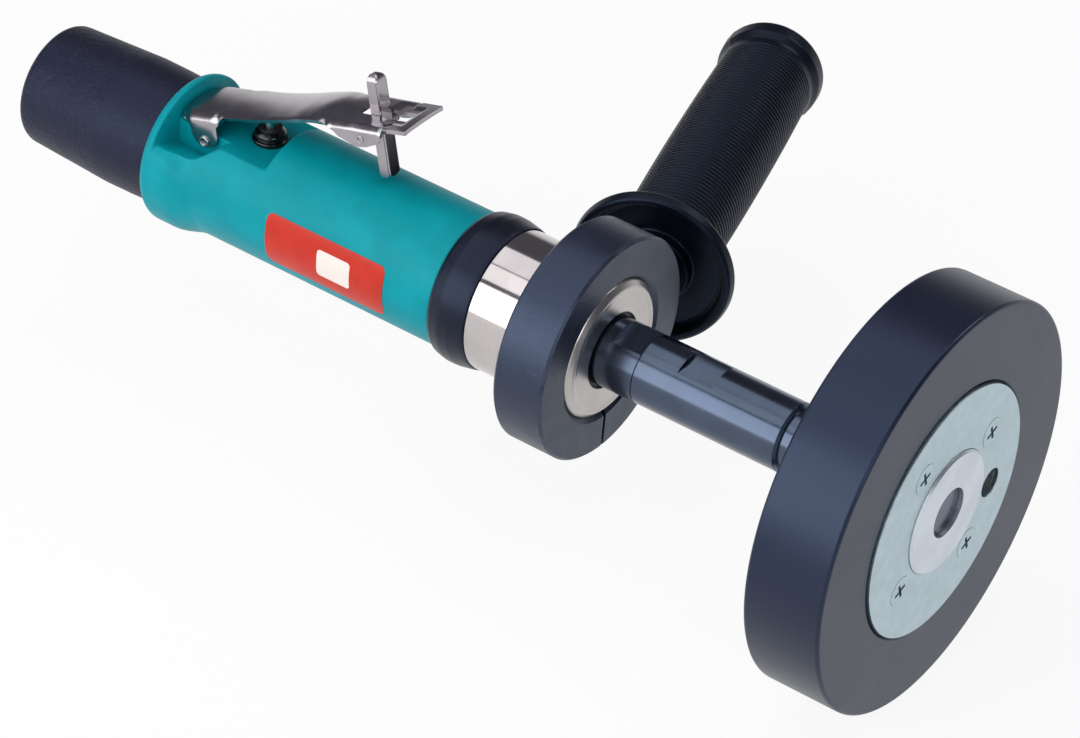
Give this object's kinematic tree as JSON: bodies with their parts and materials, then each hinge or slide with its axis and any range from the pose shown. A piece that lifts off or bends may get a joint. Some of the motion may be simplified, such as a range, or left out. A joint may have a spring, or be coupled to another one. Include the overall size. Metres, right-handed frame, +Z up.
{
  "type": "pneumatic straight-line grinder",
  "caption": "Air-driven straight grinder with a lever throttle, ribbed side handle and a rubber-tyred contact wheel on an extension shaft.",
  "frame": {"origin": "middle of the wheel, on the spindle axis, half-way through the tyre's width", "axes": "+X along the spindle from the air inlet out through the wheel, +Y towards the side handle, +Z up through the throttle lever"},
  "size_m": [0.3356, 0.2344, 0.13],
  "materials": {
    "teal_moulding": "fine-grained teal moulding",
    "label_print": "glossy orange sticker, bare",
    "black_rubber": "matte blue-black rubber",
    "boot_rubber": "coarse-grained black rubber",
    "bright_steel": "turned bright steel",
    "satin_steel": "satin bright steel",
    "bearing_steel": "ground bearing steel",
    "gear_steel": "hobbed alloy steel, oiled",
    "black_oxide": "black-oxided turned steel",
    "zinc_plate": "zinc-plated sheet steel",
    "cast_hub": "machined aluminium",
    "tyre_rubber": "black moulded rubber",
    "valve_brass": "dull brass",
    "cap_plastic": "black moulding",
    "nickel_lever": "bright nickel plate over stamped steel",
    "collar_black": "fine-textured black",
    "motor_iron": "ground iron",
    "gasket_paper": "oiled gasket sheet",
    "felt_grey": "grey felt",
    "vane_brown": "fibre laminate",
    "seal_black": "nitrile"
  },
  "bodies": {
    "body": {"motor_housing": "teal_moulding", "name_label": "label_print", "bumper_ring": "black_rubber", "gear_case": "bright_steel", "nose_cap": "satin_steel", "nose_seal": "seal_black", "spindle_bearing_races": "bearing_steel", "bearing_spacer": "gear_steel", "ring_gear": "gear_steel", "front_end_plate": "motor_iron", "motor_cylinder": "motor_iron", "rear_end_plate": "motor_iron", "motor_gasket": "gasket_paper", "rotor_bearing_races": "bearing_steel", "alignment_pin": "bearing_steel", "exhaust_boot": "boot_rubber", "silencer_felt": "felt_grey", "inlet_bushing": "satin_steel", "inlet_screen": "valve_brass", "valve_bushing": "cap_plastic", "valve_spring": "bright_steel", "bushing_seal": "seal_black", "lever_pin": "nickel_lever"},
    "throttle": {"throttle_lever": "nickel_lever", "lock_pin": "nickel_lever", "lock_spring": "bright_steel"},
    "safety_lock": {"lock_lever": "nickel_lever"},
    "valve": {"valve_stem": "bright_steel", "valve_disc": "seal_black"},
    "side_handle": {"handle_collar": "collar_black", "collar_screw": "black_oxide", "handle_stud": "zinc_plate", "handle_nut": "black_oxide", "handle_grip": "black_rubber"},
    "motor_rotor": {"rotor": "gear_steel", "rotor_vanes": "vane_brown", "rotor_bearing_rings": "bearing_steel"},
    "output": {"spindle": "black_oxide", "spindle_bearing_rings": "bearing_steel", "planet_pins": "gear_steel", "extension_shaft": "black_oxide", "arbor_nut": "black_oxide", "arbor_washer": "zinc_plate", "wheel_hub": "cast_hub", "wheel_tyre": "tyre_rubber", "front_plate": "zinc_plate", "rear_plate": "zinc_plate", "plate_screws": "zinc_plate", "tyre_valve": "valve_brass"},
    "planet_1": {"planet_gear_1": "gear_steel"},
    "planet_2": {"planet_gear_2": "gear_steel"},
    "planet_3": {"planet_gear_3": "gear_steel"}
  },
  "joints": [
    {"name": "throttle_press", "type": "hinge", "parent": "body", "child": "throttle", "pos_m": [-0.2508, 0, 0.0138], "axis": [0, 1, 0], "range_deg": [0, 5.2], "stiffness_Nm_per_rad": 1.5, "springref_deg": -11.46},
    {"name": "lock_swing", "type": "hinge", "parent": "throttle", "child": "safety_lock", "pos_m": [-0.19197, 0, 0.04092], "axis": [0, 1, 0], "range_deg": [0, 59.29]},
    {"name": "valve_slide", "type": "slide", "parent": "body", "child": "valve", "axis": [0, 0, 1], "range_m": [-0.002, 0], "stiffness_N_per_m": 12, "springref_m": 0.004, "deforming": ["valve_spring"]},
    {"name": "handle_swivel", "type": "hinge", "parent": "body", "child": "side_handle", "pos_m": [-0.1124, 0, 0], "axis": [1, 0, 0], "continuous": true},
    {"name": "spindle_spin", "type": "hinge", "parent": "body", "child": "output", "pos_m": [-0.12, 0, 0], "axis": [1, 0, 0], "continuous": true},
    {"name": "rotor_spin", "type": "hinge", "parent": "body", "child": "motor_rotor", "pos_m": [-0.185, 0, 0], "axis": [1, 0, 0], "continuous": true},
    {"name": "planet_1_spin", "type": "hinge", "parent": "output", "child": "planet_1", "pos_m": [-0.151, 0.01013, 0], "axis": [1, 0, 0], "continuous": true},
    {"name": "planet_2_spin", "type": "hinge", "parent": "output", "child": "planet_2", "pos_m": [-0.151, -0.00506, 0.00877], "axis": [1, 0, 0], "continuous": true},
    {"name": "planet_3_spin", "type": "hinge", "parent": "output", "child": "planet_3", "pos_m": [-0.151, -0.00506, -0.00877], "axis": [1, 0, 0], "continuous": true}
  ],
  "couplings": [
    {"joint": "lock_swing", "follows": "throttle_press", "ratio": 11.4},
    {"joint": "valve_slide", "follows": "throttle_press", "m_per_rad": -0.0215},
    {"joint": "rotor_spin", "follows": "spindle_spin", "ratio": 4.5},
    {"joint": "planet_1_spin", "follows": "spindle_spin", "ratio": -2.8},
    {"joint": "planet_2_spin", "follows": "spindle_spin", "ratio": -2.8},
    {"joint": "planet_3_spin", "follows": "spindle_spin", "ratio": -2.8}
  ]
}
